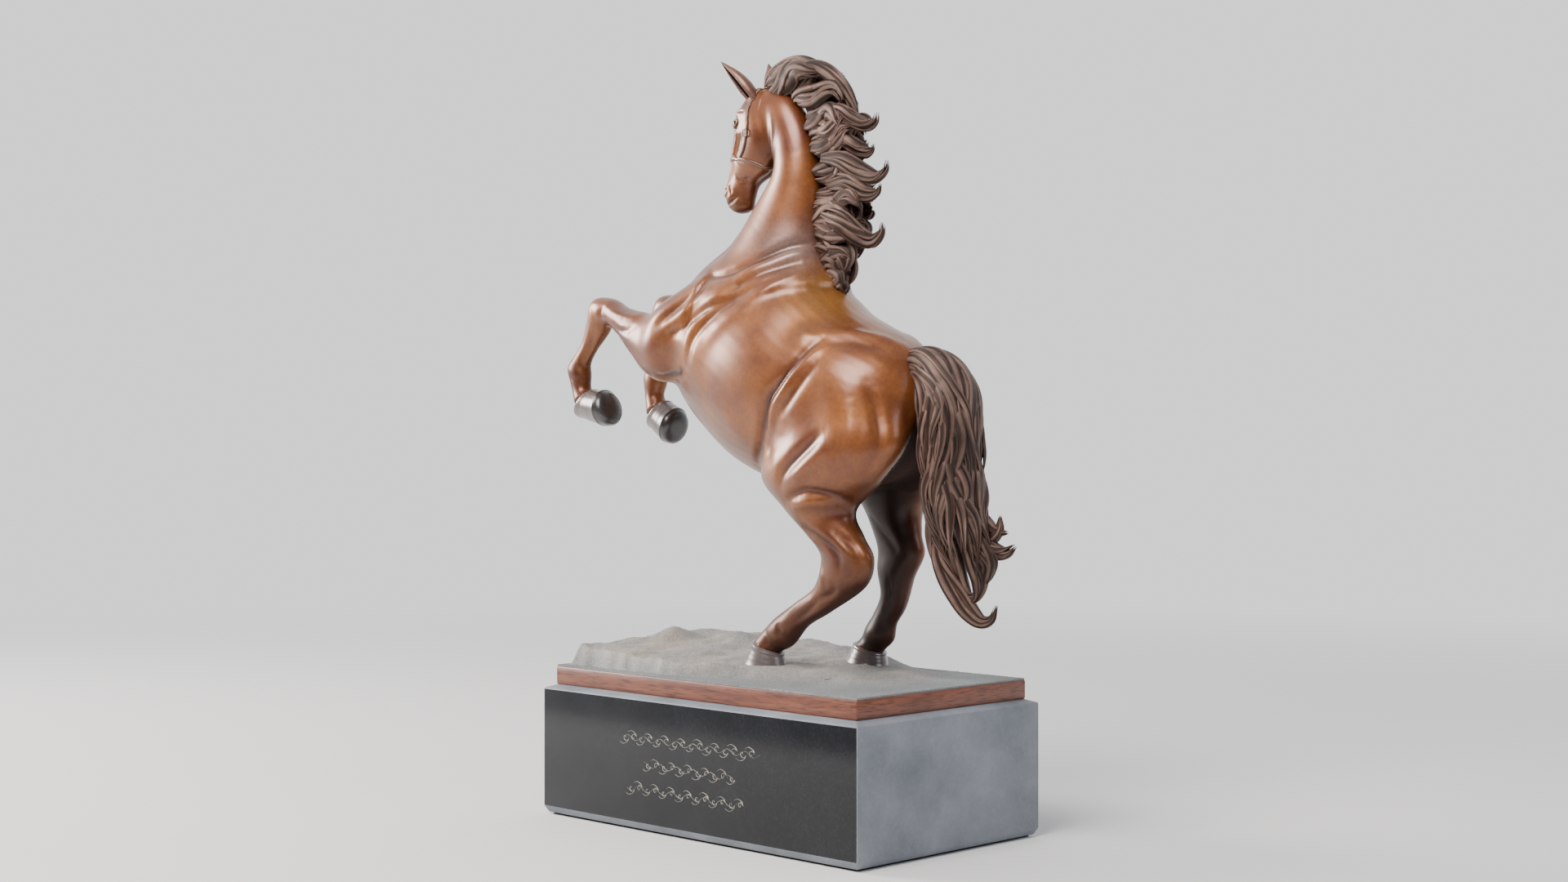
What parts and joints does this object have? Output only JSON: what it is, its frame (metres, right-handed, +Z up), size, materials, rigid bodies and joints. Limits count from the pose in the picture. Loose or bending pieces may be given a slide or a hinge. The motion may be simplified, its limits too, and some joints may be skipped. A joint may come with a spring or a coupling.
{
  "type": "horse statue",
  "caption": "Patinated bronze horse rearing on its hind legs, flowing mane and tail, on a cast ground over a wooden board and a polished black stone block.",
  "frame": {"origin": "centre of the face it stands on, the underside of the felt below the stone block", "axes": "+Z up; +X towards the horse's tail along the block's long side, so the horse faces -X; +Y towards the horse's right side"},
  "size_m": [0.3865, 0.1778, 0.5309],
  "materials": {
    "felt": "pressed wool felt",
    "granite": "polished black granite",
    "steel": "zinc plated",
    "insert_brass": "turned",
    "mahogany": "satin varnish",
    "bronze_ground": "grey-brown patina over a sand-textured casting",
    "bronze_skin": "waxed golden-brown patina",
    "bronze_eye": "waxed dark-brown patina",
    "bronze_leg": "waxed red-brown patina",
    "bronze_hoof": "dull dark patina",
    "bronze_hair": "dusty mauve-brown patina",
    "bronze_halter": "waxed brown patina"
  },
  "bodies": {
    "root": {"felt_pad": "felt", "granite_block": "granite", "block_bolts": "steel", "block_washers": "steel", "board_inserts": "insert_brass", "wood_board": "mahogany", "ground_screws": "steel", "ground_casting": "bronze_ground", "hoof_studs": "steel", "stud_washers": "steel", "stud_nuts": "steel", "barrel": "bronze_skin", "hindquarters": "bronze_skin", "neck": "bronze_skin", "head": "bronze_skin", "left_ear": "bronze_skin", "right_ear": "bronze_skin", "left_eye": "bronze_eye", "right_eye": "bronze_eye", "left_foreleg": "bronze_leg", "right_foreleg": "bronze_leg", "left_fore_hoof": "bronze_hoof", "right_fore_hoof": "bronze_hoof", "left_hind_leg": "bronze_leg", "right_hind_leg": "bronze_leg", "left_hind_hoof": "bronze_hoof", "right_hind_hoof": "bronze_hoof", "mane_upper": "bronze_hair", "mane_middle": "bronze_hair", "mane_lower": "bronze_hair", "tail_upper": "bronze_hair", "tail_lower": "bronze_hair", "tail_curls": "bronze_hair", "halter_crown": "bronze_halter", "halter_cheeks": "bronze_halter", "halter_noseband": "bronze_halter", "halter_buckles": "bronze_halter"}
  },
  "joints": []
}
